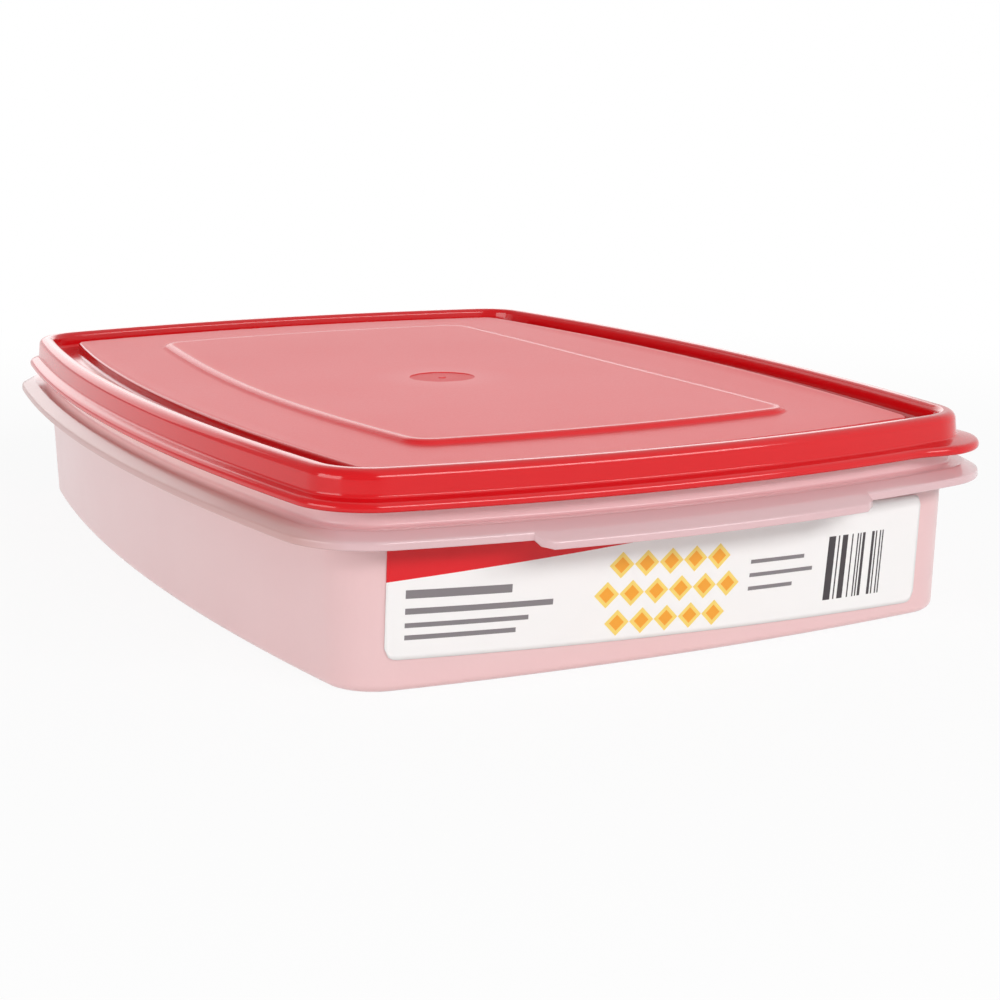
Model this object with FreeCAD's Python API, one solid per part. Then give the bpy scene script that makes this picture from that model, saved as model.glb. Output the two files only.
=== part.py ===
"""Egg storage container: a translucent tub, a snap lid, a removable egg tray and a label.

Millimetres. X runs across the short side, Y along the long side, Z up.
The origin is the centre of the footprint, on the surface that the tub stands on.
Every outline is a bowed rectangle: four shallow side arcs joined by four corner arcs.
An outline is named by its corner radius, so a larger corner radius is a larger outline.
"""

import FreeCAD, Part
import math
import os

Vector = FreeCAD.Vector

# Overall sizes of the closed container
overall_width = 228.1
overall_length = 329.9
overall_height = 56.9

# Plan: how far the sides bulge between the corners, at the rim and at the foot
long_side_bow = 9.6
short_side_bow = 8.0
foot_long_side_bow = 9.1
foot_short_side_bow = 4.6

# Fits
lid_clearance = 0.3
tray_clearance = 0.5
overrun = 5.0
touch = 0.001

# Tub: floor, foot and wall
floor_thickness = 1.6
stand_step = 0.8
stand_width = 6.0
foot_corner_radius = 14.6
foot_edge_radius = 2.2
wall_thickness = 1.5
wall_top_corner_radius = 15.8

# Tub: rim inside the lid, and the flange below it
rim_corner_radius = 17.45
rim_thickness = 1.5
rim_edge_radius = 0.5
rim_gap = 4.35
flange_thickness = 1.5
flange_width = 8.45
flange_flat_width = 4.4
flange_height = 4.05
flange_lip_height = 1.4
flange_lip_lean = 0.5
flange_shoulder_radius = 1.8
flange_lip_radius = 0.9
flange_root_radius = 0.8

# Tub: grips that widen the flange at both short ends
grip_reach = 3.95
grip_drop = 1.75
grip_width = 99.0
grip_end_radius = 3.0

# Lid: wall, lip and crest
lid_height = 9.85
lid_thickness = 1.45
lid_lip_width = 3.4
lid_lip_thickness = 2.1
lid_lip_edge_radius = 0.8
lid_lip_rise = 1.1
lid_wall_lean = 0.3
lid_crest_width = 5.0
lid_shoulder_radius = 2.4
lid_crest_radius = 1.6
lid_mouth_flare = 0.6
lid_mouth_height = 1.6

# Lid: groove and panel inside the crest
groove_depth = 5.2
groove_width = 6.4
groove_wall_lean = 0.5
groove_radius = 1.0
panel_drop = 2.75
panel_edge_radius = 0.6
panel_margin = 3.0

# Lid: raised field in the middle of the panel
field_width = 120.0
field_length = 222.0
field_bow = 3.6
field_corner_radius = 8.0
field_rise = 1.4
field_slope_width = 1.6
field_edge_radius = 0.8

# Lid: mark of the moulding gate in the middle of the field
gate_radius = 10.5
gate_depth = 0.25
gate_stub_radius = 1.1

# Lid: lift tab at one corner
tab_radius = 21.0
tab_shift = 5.0
tab_direction = math.radians(-58.0)

# Egg tray
tray_top = 20.0
tray_thickness = 1.2
tray_skirt_height = 4.0
cup_row_pitch = 55.0
cup_column_pitch = 47.0
cup_length = 49.0
cup_width = 40.0
cup_belly_share = 0.80
cup_belly_depth_share = 0.70
cup_floor_share = 0.55

# Label on one short end
label_thickness = 0.2
label_glue = 0.15
label_left = -82.2
label_right = 78.8
label_bottom = 6.3
label_top_margin = 3.9
label_corner_radius = 3.0
label_tilt = 1.6

# Derived plan: centres of the corner arcs
core_x = overall_width / 2 - long_side_bow - rim_corner_radius - flange_width
core_y = overall_length / 2 - grip_reach - short_side_bow - rim_corner_radius - flange_width

# Derived pattern: as many egg cups as the tray has room for between its corners
cup_room_x = 2 * (core_x + foot_corner_radius - wall_thickness - tray_clearance)
cup_room_y = 2 * (core_y + foot_corner_radius - wall_thickness - tray_clearance)
cup_columns = 1 + int((cup_room_x - cup_width) / cup_column_pitch)
cup_rows = 1 + int((cup_room_y - cup_length) / cup_row_pitch)

# Derived heights
floor_top = stand_step + floor_thickness
lid_lip_bottom = overall_height - lid_height
flange_top = lid_lip_bottom - rim_gap
flange_bottom = flange_top - flange_height
flange_under = flange_top - flange_thickness
rim_top = overall_height - lid_thickness
panel_top = overall_height - panel_drop
field_top = panel_top + field_rise
groove_floor = overall_height - groove_depth
label_top = flange_under - label_top_margin

# Derived outlines
lid_wall_corner_radius = rim_corner_radius + lid_clearance + lid_thickness
lid_lip_corner_radius = lid_wall_corner_radius + lid_lip_width
flange_corner_radius = rim_corner_radius + flange_width
crest_inner_radius = lid_wall_corner_radius - lid_crest_width
panel_corner_radius = crest_inner_radius - groove_wall_lean - groove_width


class Plan:
    """A bowed rectangle: corner arc centres, and the radii and centres of its side arcs."""

    def __init__(self, half_x, half_y, long_bow, short_bow):
        long_radius = (half_y ** 2 + long_bow ** 2) / (2 * long_bow)
        short_radius = (half_x ** 2 + short_bow ** 2) / (2 * short_bow)
        long_angle = math.asin(half_y / long_radius)
        short_angle = math.asin(half_x / short_radius)
        long_centre = half_x + long_bow - long_radius
        short_centre = half_y + short_bow - short_radius
        quarter = math.pi / 2
        self.sectors = []
        for turn in (0, 1, 2, 3):
            heading = turn * quarter
            if turn % 2 == 0:
                sign = 1 - turn
                side = (Vector(sign * long_centre, 0, 0), long_radius, long_angle)
                sign_x, sign_y = sign, sign
                corner_start, corner_end = long_angle, quarter - short_angle
            else:
                sign = 2 - turn
                side = (Vector(0, sign * short_centre, 0), short_radius, short_angle)
                sign_x, sign_y = -sign, sign
                corner_start, corner_end = short_angle, quarter - long_angle
            centre, radius, angle = side
            self.sectors.append((centre, radius, heading - angle, heading + angle))
            corner = Vector(sign_x * half_x, sign_y * half_y, 0)
            self.sectors.append((corner, 0, heading + corner_start, heading + corner_end))

    def wire(self, corner_radius, z):
        """The closed outline of one corner radius at one height."""
        edges = []
        for centre, radius, start, end in self.sectors:
            reach = radius + corner_radius
            points = []
            for angle in (start, (start + end) / 2, end):
                points.append(centre + Vector(reach * math.cos(angle), reach * math.sin(angle), z))
            edges.append(Part.Arc(*points).toShape())
        return Part.Wire(edges)

    def plate(self, corner_radius, bottom, top):
        """A flat plate of one outline between two heights."""
        face = Part.Face(self.wire(corner_radius, bottom))
        return face.extrude(Vector(0, 0, top - bottom))

    def ring(self, section):
        """Carry a section of (corner radius, height, edge radius) points round the whole outline."""
        face = Part.Face(rounded_wire(section))
        pieces = []
        for centre, radius, start, end in self.sectors:
            pieces.append(turned(face, centre, radius, start, end))
        return pieces[0].multiFuse(pieces[1:]).removeSplitter()


def turned(face, centre, radius, start, end):
    """Turn a section, drawn in the XZ plane, about an upright axis from one angle to another."""
    placed = face.copy()
    placed.translate(centre + Vector(radius, 0, 0))
    up = Vector(0, 0, 1)
    placed.rotate(centre, up, math.degrees(start))
    return placed.revolve(centre, up, math.degrees(end - start))


def rounded_wire(section):
    """A closed wire in the XZ plane through (x, z, radius) points, each corner rounded."""
    stops = []
    count = len(section)
    places = [Vector(x, 0, z) for x, z, radius in section]
    for index, here in enumerate(places):
        radius = section[index][2]
        before = places[index - 1] - here
        after = places[(index + 1) % count] - here
        before.normalize()
        after.normalize()
        if radius == 0:
            stops.append((here, here, here))
            continue
        half = before.getAngle(after) / 2
        reach = radius / math.tan(half)
        middle = before + after
        middle.normalize()
        crown = here + middle * (radius / math.sin(half) - radius)
        stops.append((here + before * reach, crown, here + after * reach))
    edges = []
    for index, (first, crown, last) in enumerate(stops):
        following = stops[(index + 1) % count][0]
        if (last - first).Length > 0:
            edges.append(Part.Arc(first, crown, last).toShape())
        if (following - last).Length > touch:
            edges.append(Part.LineSegment(last, following).toShape())
    return Part.Wire(edges)


rim_plan = Plan(core_x, core_y, long_side_bow, short_side_bow)
foot_plan = Plan(core_x, core_y, foot_long_side_bow, foot_short_side_bow)


def wall_body(inset):
    """The space inside the tub's wall surface, moved in by an inset, from foot to flange."""
    foot = foot_plan.wire(foot_corner_radius - inset, foot_edge_radius)
    top = rim_plan.wire(wall_top_corner_radius - inset, flange_under)
    return Part.makeLoft([foot, top], True, True)


def plan_at(z):
    """The plan and corner radius of the tub's outer wall at one height."""
    share = (z - foot_edge_radius) / (flange_under - foot_edge_radius)
    long_bow = foot_long_side_bow + share * (long_side_bow - foot_long_side_bow)
    short_bow = foot_short_side_bow + share * (short_side_bow - foot_short_side_bow)
    radius = foot_corner_radius + share * (wall_top_corner_radius - foot_corner_radius)
    return Plan(core_x, core_y, long_bow, short_bow), radius


def foot_ring():
    """The rounded bottom edge, with the narrow ring that the tub stands on."""
    outer = foot_corner_radius
    inner = outer - wall_thickness
    stand = outer - foot_edge_radius - stand_width
    section = [
        (stand, stand_step, 0),
        (stand + stand_step, 0, 0),
        (outer, 0, foot_edge_radius),
        (outer, foot_edge_radius, 0),
        (inner, foot_edge_radius, 0),
        (inner, floor_thickness, foot_edge_radius - floor_thickness),
        (stand + stand_step, floor_thickness, 0),
        (stand, floor_top, 0),
    ]
    floor = foot_plan.plate(stand, stand_step, floor_top)
    return foot_plan.ring(section).fuse(floor)


def flange_section(reach, bottom):
    """Outer and under line of the flange, from its root out to its lip and back."""
    edge = rim_corner_radius + reach
    shoulder = rim_corner_radius + flange_flat_width
    lip_top = bottom + flange_lip_height
    outer = [
        (shoulder, flange_top, flange_shoulder_radius),
        (edge - flange_lip_lean, lip_top, flange_lip_radius),
        (edge, bottom, 0),
    ]
    under = [
        (edge - flange_thickness, bottom, 0),
        (edge - flange_lip_lean - flange_thickness, lip_top - flange_thickness / 2, 0),
        (shoulder - flange_thickness / 2, flange_under, 0),
    ]
    return outer, under


def rim_ring():
    """The flange and the upright rim that the lid's channel goes over."""
    wall_inner = wall_top_corner_radius - wall_thickness
    rim_inner = rim_corner_radius - rim_thickness
    ledge_top = flange_top + rim_inner - wall_inner
    outer, under = flange_section(flange_width, flange_bottom)
    section = [
        (wall_inner, flange_under, 0),
        (wall_inner, flange_top, 0),
        (rim_inner, ledge_top, 0),
        (rim_inner, rim_top, rim_edge_radius),
        (rim_corner_radius, rim_top, rim_edge_radius),
        (rim_corner_radius, flange_top, flange_root_radius),
    ] + outer + under + [(wall_top_corner_radius, flange_under, 0)]
    return rim_plan.ring(section)


def grip_block(section, outer, half_width, end_radius):
    """Turn a section round the +Y end as far as the grip goes, its outer corners rounded in plan."""
    centre, radius, start, end = rim_plan.sectors[2]
    middle = (start + end) / 2
    angle = math.asin(half_width / (radius + outer))
    solid = turned(Part.Face(rounded_wire(section)), centre, radius, middle - angle, middle + angle)
    sector = [
        (rim_corner_radius, 0, 0),
        (outer, 0, 0),
        (outer, overall_height, 0),
        (rim_corner_radius, overall_height, 0),
    ]
    trim = turned(Part.Face(rounded_wire(sector)), centre, radius, middle - angle, middle + angle)

    def is_outer_corner(edge):
        arm = edge.CenterOfMass - centre
        return abs(math.hypot(arm.x, arm.y) - radius - outer) < touch and edge.BoundBox.ZLength > overrun

    corners = [edge for edge in trim.Edges if is_outer_corner(edge)]
    return solid.common(trim.makeFillet(end_radius, corners))


def grip_parts():
    """The grip's outer block and the hollow under it, at the +Y end."""
    bottom = flange_bottom - grip_drop
    outer, under = flange_section(flange_width + grip_reach, bottom)
    root = rim_corner_radius + flange_flat_width / 2
    block = outer + [(root, bottom, 0), (root, flange_top, 0)]
    hollow = under[::-1] + [
        (under[0][0], 0, 0),
        (root - flange_thickness, 0, 0),
        (root - flange_thickness, flange_under, 0),
    ]
    edge = flange_corner_radius + grip_reach
    half = grip_width / 2
    wall = flange_thickness
    solid = grip_block(block, edge, half, grip_end_radius)
    space = grip_block(hollow, edge - wall, half - wall, grip_end_radius - wall)
    return solid, space


def container_base():
    """The tub: floor, foot, wall, flange, rim and the two end grips."""
    shell = wall_body(0).cut(wall_body(wall_thickness))
    tub = shell.multiFuse([foot_ring(), rim_ring()])
    block, hollow = grip_parts()
    half_turn = FreeCAD.Placement(Vector(0, 0, 0), FreeCAD.Rotation(Vector(0, 0, 1), 180))
    blocks = [block, block.copy()]
    hollows = [hollow, hollow.copy()]
    blocks[1].Placement = half_turn
    hollows[1].Placement = half_turn
    return tub.multiFuse(blocks).cut(hollows).removeSplitter()


def lid_ring():
    """The lid's lip, wall, crest and groove, as one shell that straddles the tub's rim."""
    lip = lid_lip_corner_radius
    lip_top = lid_lip_bottom + lid_lip_thickness
    wall = lid_wall_corner_radius
    channel_outer = rim_corner_radius + lid_clearance
    channel_inner = rim_corner_radius - rim_thickness - lid_clearance
    groove_outer = crest_inner_radius - groove_wall_lean
    panel = panel_corner_radius
    panel_start = panel - panel_margin
    groove_under = groove_floor - lid_thickness
    panel_under = panel_top - lid_thickness
    section = [
        (lip, lid_lip_bottom, lid_lip_edge_radius),
        (lip, lip_top, lid_lip_edge_radius),
        (wall + lid_wall_lean, lip_top + lid_lip_rise, lid_lip_edge_radius),
        (wall - lid_wall_lean, overall_height, lid_shoulder_radius),
        (crest_inner_radius, overall_height, lid_crest_radius),
        (groove_outer, groove_floor, groove_radius),
        (panel + groove_wall_lean, groove_floor, groove_radius),
        (panel, panel_top, panel_edge_radius),
        (panel_start, panel_top, 0),
        (panel_start, panel_under, 0),
        (panel - lid_thickness, panel_under, 0),
        (panel + groove_wall_lean - lid_thickness, groove_under, 0),
        (channel_inner, groove_under, 0),
        (channel_inner, rim_top, 0),
        (channel_outer, rim_top, 0),
        (channel_outer, lid_lip_bottom + lid_mouth_height, 0),
        (channel_outer + lid_mouth_flare, lid_lip_bottom, 0),
    ]
    return rim_plan.ring(section)


def lid_tab():
    """The rounded lift tab at one corner, as thick as the lip."""
    centre = Vector(core_x, -core_y, lid_lip_bottom)
    centre += Vector(tab_shift * math.cos(tab_direction), tab_shift * math.sin(tab_direction), 0)
    disc = Part.makeCylinder(tab_radius, lid_lip_thickness, centre)
    disc = disc.makeFillet(lid_lip_edge_radius, [edge for edge in disc.Edges if edge.Closed])
    inside = rim_plan.plate(lid_wall_corner_radius, lid_lip_bottom - overrun, overall_height)
    return disc.cut(inside)


def gate_recess():
    """The shallow round recess where the plastic enters the mould, round the stub left in its middle."""
    bottom = Vector(0, 0, field_top - gate_depth)
    recess = Part.makeCylinder(gate_radius, gate_depth + overrun, bottom)
    return recess.cut(Part.makeCylinder(gate_stub_radius, gate_depth, bottom))


def field_parts():
    """The raised field with its sloped, rounded edge, and the hollow under it."""
    field_x = field_width / 2 - field_bow - field_corner_radius
    field_y = field_length / 2 - field_bow - field_corner_radius
    plan = Plan(field_x, field_y, field_bow, field_bow)
    foot = plan.wire(field_corner_radius + field_slope_width, panel_top)
    raised = Part.makeLoft([foot, plan.wire(field_corner_radius, field_top)], True, True)
    raised = raised.makeFillet(field_edge_radius, top_edges(raised))
    panel_under = panel_top - lid_thickness
    hollow_radius = field_corner_radius - lid_thickness
    hollow = plan.plate(hollow_radius, panel_under - overrun, panel_under + field_rise)
    return raised, hollow


def lid():
    """The lid: ring, panel, raised field and lift tab."""
    panel = rim_plan.plate(panel_corner_radius - panel_margin, panel_top - lid_thickness, panel_top)
    raised, hollow = field_parts()
    whole = lid_ring().multiFuse([panel, raised, lid_tab()])
    return whole.cut(hollow).cut(gate_recess()).removeSplitter()


def top_edges(shape):
    """The edges that lie in a shape's highest plane."""
    top = shape.BoundBox.ZMax
    return [edge for edge in shape.Edges if edge.BoundBox.ZMin > top - touch]


def oval(length, width, z):
    """A closed oval wire, longer along Y."""
    ellipse = Part.Ellipse(Vector(0, 0, z), length / 2, width / 2)
    edge = ellipse.toShape()
    edge.rotate(Vector(0, 0, z), Vector(0, 0, 1), 90)
    return Part.Wire([edge])


def cup(inset, bottom):
    """One egg cup as a solid, moved in by an inset, from its floor up to the tray's top."""
    length = cup_length - 2 * inset
    width = cup_width - 2 * inset
    depth = tray_top - bottom
    belly = tray_top - cup_belly_depth_share * depth
    wires = [
        oval(cup_floor_share * length, cup_floor_share * width, bottom),
        oval(cup_belly_share * length, cup_belly_share * width, belly),
        oval(length, width, tray_top),
    ]
    return Part.makeLoft(wires, True, True)


def cup_places():
    """The centres of the egg cups, in rows along Y and columns along X."""
    places = []
    for row in range(cup_rows):
        for column in range(cup_columns):
            x = (column - (cup_columns - 1) / 2) * cup_column_pitch
            y = (row - (cup_rows - 1) / 2) * cup_row_pitch
            places.append(Vector(x, y, 0))
    return places


def egg_tray():
    """The removable tray: a plate with a turned-down edge, and oval cups that stand on the floor."""
    plan, wall_radius = plan_at(tray_top - tray_skirt_height)
    edge = wall_radius - wall_thickness - tray_clearance
    plate = plan.plate(edge, tray_top - tray_thickness, tray_top)
    skirt = plan.plate(edge, tray_top - tray_skirt_height, tray_top)
    skirt = skirt.cut(plan.plate(edge - tray_thickness, tray_top - tray_skirt_height, tray_top))
    outer = cup(0, floor_top)
    inner = cup(tray_thickness, floor_top + tray_thickness)
    outers = []
    inners = []
    for place in cup_places():
        outers.append(outer.translated(place))
        inners.append(inner.translated(place))
    return plate.multiFuse([skirt] + outers).cut(inners).removeSplitter()


def label():
    """The sticker: a thin sheet that follows the wall of the -Y end, with rounded corners."""
    outline = [
        (label_left, label_bottom, label_corner_radius),
        (label_right, label_bottom, label_corner_radius),
        (label_right, label_top, label_corner_radius),
        (label_left, label_top, label_corner_radius),
    ]
    face = Part.Face(rounded_wire(outline))
    middle = Vector((label_left + label_right) / 2, 0, (label_bottom + label_top) / 2)
    face.rotate(middle, Vector(0, 1, 0), label_tilt)
    block = face.extrude(Vector(0, -overall_length, 0))
    sheet = wall_body(-label_glue - label_thickness).cut(wall_body(-label_glue))
    return sheet.common(block)


os.makedirs("parts", exist_ok=True)
for build in (container_base, lid, egg_tray, label):
    shape = build()
    name = build.__name__
    box = shape.BoundBox
    print(name, "solids", len(shape.Solids), "valid", shape.isValid(), "volume", round(shape.Volume, 1))
    print("  from", round(box.XMin, 2), round(box.YMin, 2), round(box.ZMin, 2))
    print("  to", round(box.XMax, 2), round(box.YMax, 2), round(box.ZMax, 2))
    shape.exportStep("parts/" + name + ".step")
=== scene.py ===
# %% [markdown]
# # A lidded egg container
# The solids of this container give its real sizes. This lesson dresses them for the camera: a frosted
# tub, a glossy red lid with a matte panel, a tray of egg cups and a printed label. Every piece is made
# in metres, in the frame of the solids, so that each one lands where its solid is.

# %% Load the frame
import math

import bpy
import numpy as np
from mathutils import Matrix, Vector


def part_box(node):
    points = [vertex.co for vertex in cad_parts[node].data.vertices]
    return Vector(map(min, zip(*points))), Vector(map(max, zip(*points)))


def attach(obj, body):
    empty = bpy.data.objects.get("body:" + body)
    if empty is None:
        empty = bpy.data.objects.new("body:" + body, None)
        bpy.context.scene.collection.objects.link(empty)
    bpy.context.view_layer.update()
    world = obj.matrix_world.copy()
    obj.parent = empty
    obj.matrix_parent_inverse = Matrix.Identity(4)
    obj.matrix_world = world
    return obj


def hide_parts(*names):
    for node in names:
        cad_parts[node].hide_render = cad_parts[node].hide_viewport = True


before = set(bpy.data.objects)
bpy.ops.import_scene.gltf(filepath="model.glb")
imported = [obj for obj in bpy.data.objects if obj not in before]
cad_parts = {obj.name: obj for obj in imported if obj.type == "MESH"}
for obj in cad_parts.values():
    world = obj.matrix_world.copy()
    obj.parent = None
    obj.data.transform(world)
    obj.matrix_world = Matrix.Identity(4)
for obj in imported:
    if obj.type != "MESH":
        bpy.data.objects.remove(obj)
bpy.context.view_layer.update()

# %% [markdown]
# ## Sums on sockets
# Node trees are easier to read as formulas. The class below wraps an output socket, so that
# `1 - mask` or `place + outward * reach` adds the Math or Vector Math node that does it. One method,
# `add`, makes every other node: it takes the node's type, its settings and what goes into its sockets.
# Geometry trees and shader trees share these node types, so both use the same class.

# %% A socket that takes part in sums
class Wire:
    """An output socket of a node tree. Each operator adds one Math or Vector Math node."""

    def __init__(self, tree, socket=None):
        self.tree = tree
        self.socket = socket

    def add(self, kind, settings=None, sockets=None, output=0):
        """Make a node, set it up, fill its sockets with numbers or wires, and return one of its outputs."""
        node = self.tree.nodes.new(kind)
        for name, value in (settings or {}).items():
            setattr(node, name, value)
        for key, value in (sockets or {}).items():
            if isinstance(value, Wire):
                self.tree.links.new(value.socket, node.inputs[key])
            else:
                node.inputs[key].default_value = value
        return Wire(self.tree, node.outputs[output] if len(node.outputs) else None)

    def other(self, name):
        """Another output of the node that this wire comes from."""
        return Wire(self.tree, self.socket.node.outputs[name])

    def math(self, operation, *others):
        """A Math node on this value and others."""
        return self.add("ShaderNodeMath", {"operation": operation}, dict(enumerate((self, *others))))

    def clamp(self):
        """This value, kept between 0 and 1."""
        return self.math("MAXIMUM", 0.0).math("MINIMUM", 1.0)

    def sum(self, operation, first, second):
        """A Math node, or a Vector Math node where one side is a vector."""
        vectors = [x for x in (first, second) if isinstance(x, Wire) and x.socket.type == "VECTOR"]
        if not vectors:
            return self.add("ShaderNodeMath", {"operation": operation}, {0: first, 1: second})
        if operation == "MULTIPLY" and len(vectors) == 1:
            number = second if vectors[0] is first else first
            return self.add("ShaderNodeVectorMath", {"operation": "SCALE"}, {0: vectors[0], "Scale": number})
        return self.add("ShaderNodeVectorMath", {"operation": operation}, {0: first, 1: second})

    def __add__(self, other):
        return self.sum("ADD", self, other)

    def __sub__(self, other):
        return self.sum("SUBTRACT", self, other)

    def __mul__(self, other):
        return self.sum("MULTIPLY", self, other)

    def __truediv__(self, other):
        return self.sum("DIVIDE", self, other)

    def __radd__(self, other):
        return self.sum("ADD", other, self)

    def __rsub__(self, other):
        return self.sum("SUBTRACT", other, self)

    def __rmul__(self, other):
        return self.sum("MULTIPLY", other, self)

    def __gt__(self, other):
        return self.sum("GREATER_THAN", self, other)

    def __lt__(self, other):
        return self.sum("LESS_THAN", self, other)


print("wires add, subtract, multiply, divide and compare")

# %% [markdown]
# ## Sizes
# The frame gives the outer box of each solid. The rest are the sizes of the mouldings' sections: `rho` is
# the distance out from the corner centres, and `z` the height.

# %% Driving sizes
mm = 0.001
tub_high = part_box("container_base")[1]
lid_low, lid_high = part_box("lid")
tray_low, tray_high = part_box("egg_tray")

long_bow, short_bow = 9.6 * mm, 8.0 * mm
foot_long_bow, foot_short_bow = 9.1 * mm, 4.6 * mm
rim_rho = 17.45 * mm
rim_thickness = 1.5 * mm
flange_width = 8.45 * mm
grip_reach = 3.95 * mm
core_x = tub_high.x - long_bow - rim_rho - flange_width
core_y = tub_high.y - grip_reach - short_bow - rim_rho - flange_width
rim_top = tub_high.z
lid_top = lid_high.z
lip_bottom = lid_low.z
floor_top = tray_low.z
tray_top = tray_high.z
print("corner centres at", round(core_x / mm, 2), "and", round(core_y / mm, 2), "mm")

# %% [markdown]
# ## One rule for both mouldings
# Tub and lid are each a section carried round a bowed rectangle. A lathe tool can't make that, and a
# bevelled curve can't change its section on the way, as the tub does at its end grips. So the rule goes
# into a Geometry Nodes tree: it takes a ring of outline points and a list of section points, and sets
# point (i, j) of a grid to outline point j moved out by rho and up by z of section point i. The outline
# may change from one plan to another, and close in to a circle in the middle of a floor or panel.

# %% The outline: four shallow side arcs and four corner arcs
grip_half_width = 49.5 * mm
grip_end_radius = 3.0 * mm
side_steps = 44
corner_steps = 20
grip_closest_share = 0.024
grip_end_shares = (-0.5, -0.2, -0.07, 0.0, 0.03, 0.08, 0.16, 0.27, 0.4, 0.56, 0.76, 1.0, 1.3)


def even_shares(steps):
    """Shares from 0 up to, and without, 1."""
    return np.arange(steps) / steps


def rays(turns):
    """Unit directions at these angles."""
    return np.stack([np.cos(turns), np.sin(turns)], axis=1)


def gripped_shares(half_x):
    """Even shares of a short side, with close ones where a grip ends."""
    places = list(even_shares(side_steps) * 2 * half_x - half_x)
    for share in grip_end_shares:
        place = grip_half_width - share * grip_end_radius
        places += [-place, place]
    places = sorted(places)
    apart = grip_closest_share * grip_end_radius
    kept = [p for i, p in enumerate(places) if i == 0 or p - places[i - 1] >= apart]
    return (np.array(kept) + half_x) / (2 * half_x)


def bowed_outline(half_x, half_y, bow_x, bow_y, shares_x, shares_y, shares_corner):
    """Points of a bowed rectangle at rho 0, and their outward directions, anticlockwise from the +X side."""
    places, outwards = [], []
    for turn in range(4):
        heading = turn * math.pi / 2
        ahead = np.array([math.cos(heading), math.sin(heading)])
        aside = np.array([-ahead[1], ahead[0]])
        near, far, bow, far_bow, shares = (
            (half_x, half_y, bow_x, bow_y, shares_x) if turn % 2 == 0 else
            (half_y, half_x, bow_y, bow_x, shares_y)
        )
        radius = (far ** 2 + bow ** 2) / (2 * bow)
        angle = math.asin(far / radius)
        next_angle = math.asin(near * 2 * far_bow / (near ** 2 + far_bow ** 2))
        side = rays(heading + angle * (2 * shares - 1))
        places.append(ahead * (near + bow - radius) + radius * side)
        start, end = heading + angle, heading + math.pi / 2 - next_angle
        corner = rays(start + (end - start) * shares_corner)
        places.append(np.repeat((ahead * near + aside * far)[None], len(corner), axis=0))
        outwards += [side, corner]
    return np.concatenate(places), np.concatenate(outwards)


shares_long = even_shares(side_steps)
shares_short = gripped_shares(core_x)
shares_corner = even_shares(corner_steps)
ring_shares = (shares_long, shares_short, shares_corner)
rim_outline = bowed_outline(core_x, core_y, long_bow, short_bow, *ring_shares)
foot_outline = bowed_outline(core_x, core_y, foot_long_bow, foot_short_bow, *ring_shares)
rim_places, rim_outwards = rim_outline
print("outline of", len(rim_places), "points")

# %% The section: straight runs and rounded corners
arc_steps = 6
run_shares = (0.1, 0.9)
columns = ("rho", "z", "share", "round", "radius", "sag", "finish", "reach_rho", "reach_z")
outline_vectors = ("first", "first_out", "second", "second_out", "circle")


def unit(arrow):
    """The same direction, one long."""
    return arrow / np.linalg.norm(arrow)


def rounded(corners):
    """Points along a section of (rho, z, radius) corners, with two more near the ends of each run."""
    places = [np.array(corner[:2]) for corner in corners]
    points = [places[0]]
    for index in range(1, len(corners)):
        here, radius = places[index], corners[index][2]
        arc = [here]
        if radius > 0:
            before = unit(places[index - 1] - here)
            after = unit(places[index + 1] - here)
            half = math.acos(np.dot(before, after)) / 2
            centre = here + unit(before + after) * radius / math.sin(half)
            first = here + before * radius / math.tan(half) - centre
            last = here + after * radius / math.tan(half) - centre
            aside = np.array([-first[1], first[0]])
            turn = math.copysign(math.pi - 2 * half, np.dot(aside, last))
            turns = np.linspace(0, turn, arc_steps + 1)
            arc = [centre + (first * math.cos(angle) + aside * math.sin(angle)) for angle in turns]
        run = arc[0] - points[-1]
        points += [points[-1] + run * share for share in run_shares]
        points += arc
    return np.array(points)


def rows(points, **more):
    """Section rows of rho and z, with any other column as one number or one per point."""
    table = np.zeros((len(points), len(columns)))
    table[:, :2] = points
    for name, value in more.items():
        table[:, columns.index(name)] = value
    return table


def repeated(rho, z, shares):
    """One section point for each share, for rows that differ only in how far they close in."""
    return np.array([[rho, z]] * len(shares))


def raised(places, z):
    """Points of a section or a ring, all at one height."""
    return np.column_stack([places, np.full(len(places), z)])


def in_scene(name, data):
    """An object with this data, linked to the scene."""
    made = bpy.data.objects.new(name, data)
    bpy.context.scene.collection.objects.link(made)
    return made


def points_object(name, places, named_values):
    """A mesh of loose points that carries named numbers and named vectors."""
    mesh = bpy.data.meshes.new(name)
    mesh.from_pydata(raised(places, 0).tolist(), [], [])
    for key, values in named_values.items():
        if values.ndim == 1:
            mesh.attributes.new(key, "FLOAT", "POINT").data.foreach_set("value", values)
        else:
            flat = raised(values, 0).ravel()
            mesh.attributes.new(key, "FLOAT_VECTOR", "POINT").data.foreach_set("vector", flat)
    return in_scene(name, mesh)


print("sections have", len(columns), "columns")

# %% The tree that carries a section round an outline
merge_distance = 0.002 * mm


def new_geometry_tree(name, inputs):
    """A geometry tree with its named inputs, its input node as a wire, and its sockets by name."""
    tree = bpy.data.node_groups.new(name, "GeometryNodeTree")
    tree.interface.new_socket("Geometry", in_out="OUTPUT", socket_type="NodeSocketGeometry")
    named = {}
    for label, kind in inputs:
        named[label] = tree.interface.new_socket(label, in_out="INPUT", socket_type=kind)
    return tree, Wire(tree).add("NodeGroupInput"), named


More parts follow.
